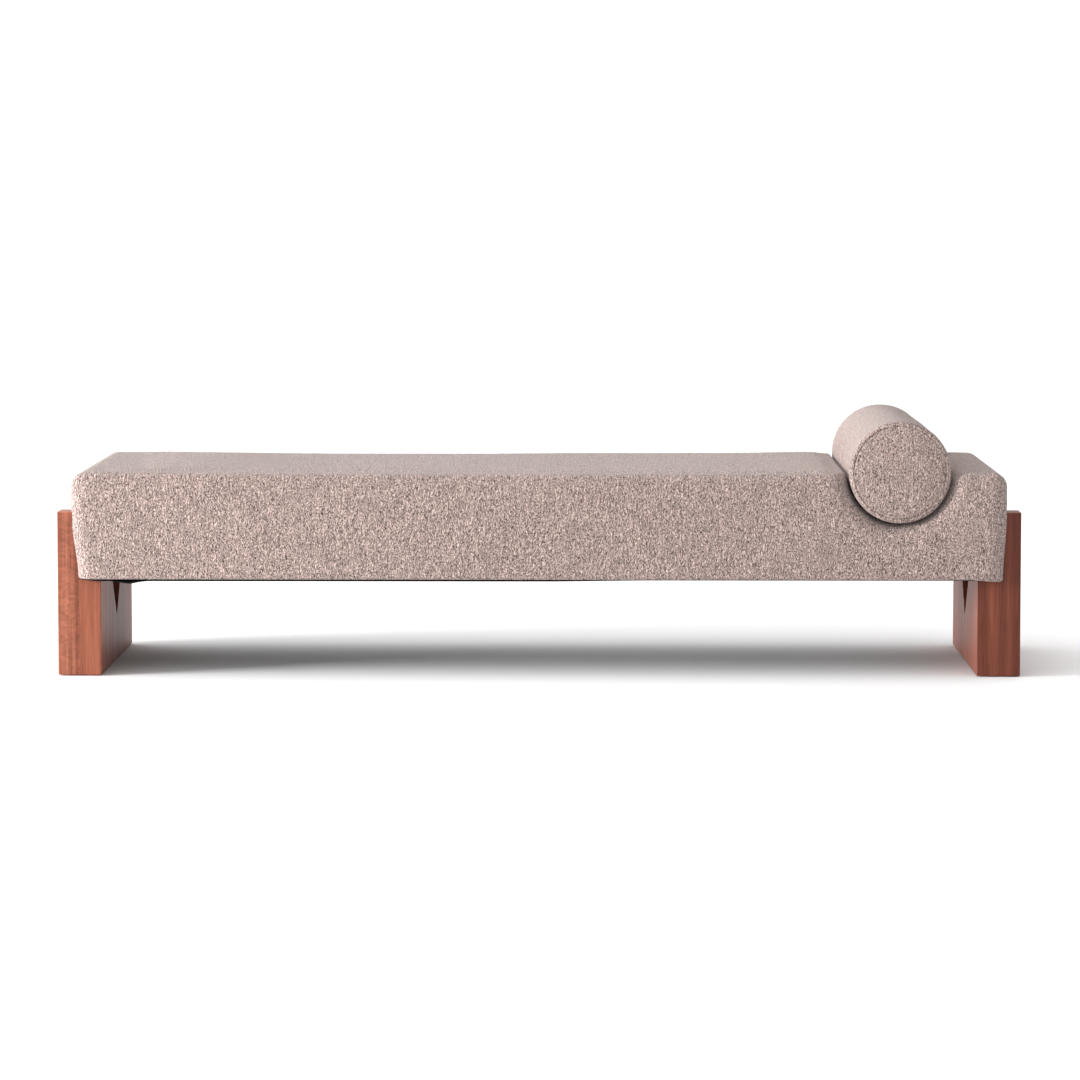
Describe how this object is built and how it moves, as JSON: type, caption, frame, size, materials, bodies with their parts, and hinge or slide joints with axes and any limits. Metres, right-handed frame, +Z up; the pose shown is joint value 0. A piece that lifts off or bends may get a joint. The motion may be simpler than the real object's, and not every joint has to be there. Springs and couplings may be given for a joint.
{
  "type": "daybed",
  "caption": "Long upholstered daybed held between two V-notched timber slab legs, with a loose bolster lying half sunk in a channel across one end of the seat.",
  "frame": {"origin": "centre of the daybed's footprint on the floor, under the felt pads", "axes": "+X runs along the length from the plain end to the bolster end, +Y to the back, +Z up"},
  "size_m": [2.032, 0.711, 0.542],
  "materials": {
    "leg_wood": "reddish brown stain under satin lacquer",
    "felt": "dense dark felt",
    "dowel_wood": "plain beech",
    "insert_brass": "plain brass",
    "fastener_steel": "zinc plated",
    "slat_plywood": "unfinished birch plywood",
    "frame_pine": "unfinished pine",
    "foam": "cut polyurethane foam",
    "wadding": "fluffy polyester fibre",
    "boucle": "looped boucle weave, matte",
    "lining": "black non-woven lining",
    "zip_tape": "woven tape with moulded teeth",
    "zip_metal": "painted to match the fabric"
  },
  "bodies": {
    "daybed": {"corner_screws": "fastener_steel", "cross_rail_1": "frame_pine", "cross_rail_2": "frame_pine", "cross_rail_3": "frame_pine", "cross_rail_4": "frame_pine", "cross_rail_5": "frame_pine", "cross_rail_screws": "fastener_steel", "dust_cover": "lining", "dust_cover_staples": "fastener_steel", "fibre_wrap": "wadding", "foam_core": "foam", "foam_topper_left": "foam", "foam_topper_right": "foam", "front_rail": "frame_pine", "front_side_foam": "foam", "left_end_foam": "foam", "left_end_rail": "frame_pine", "left_floor_pads": "felt", "left_front_corner_block": "frame_pine", "left_leg_bolts": "fastener_steel", "left_leg_dowels": "dowel_wood", "left_leg_inner_board": "leg_wood", "left_leg_inserts": "insert_brass", "left_leg_outer_board": "leg_wood", "left_rear_corner_block": "frame_pine", "rear_rail": "frame_pine", "rear_side_foam": "foam", "right_end_foam": "foam", "right_end_rail": "frame_pine", "right_floor_pads": "felt", "right_front_corner_block": "frame_pine", "right_leg_bolts": "fastener_steel", "right_leg_dowels": "dowel_wood", "right_leg_inner_board": "leg_wood", "right_leg_inserts": "insert_brass", "right_leg_outer_board": "leg_wood", "right_rear_corner_block": "frame_pine", "seat_cover": "boucle", "slat_01": "slat_plywood", "slat_02": "slat_plywood", "slat_03": "slat_plywood", "slat_04": "slat_plywood", "slat_05": "slat_plywood", "slat_06": "slat_plywood", "slat_07": "slat_plywood", "slat_08": "slat_plywood", "slat_09": "slat_plywood", "slat_10": "slat_plywood", "slat_11": "slat_plywood", "slat_12": "slat_plywood", "slat_screws": "fastener_steel"},
    "bolster": {"bolster_core": "foam", "bolster_wrap": "wadding", "bolster_cover": "boucle", "bolster_end_front": "boucle", "bolster_end_rear": "boucle", "bolster_zip_tape": "zip_tape"},
    "zip_slider": {"zip_slider": "zip_metal", "zip_pull": "zip_metal"}
  },
  "joints": [
    {"name": "bolster_lift", "type": "slide", "parent": "daybed", "child": "bolster", "axis": [0, 0, 1], "range_m": [0, 0.3]},
    {"name": "zip_travel", "type": "hinge", "parent": "bolster", "child": "zip_slider", "pos_m": [0.759, 0.3485, 0.434], "axis": [0, -1, 0], "range_deg": [0, 170]}
  ]
}
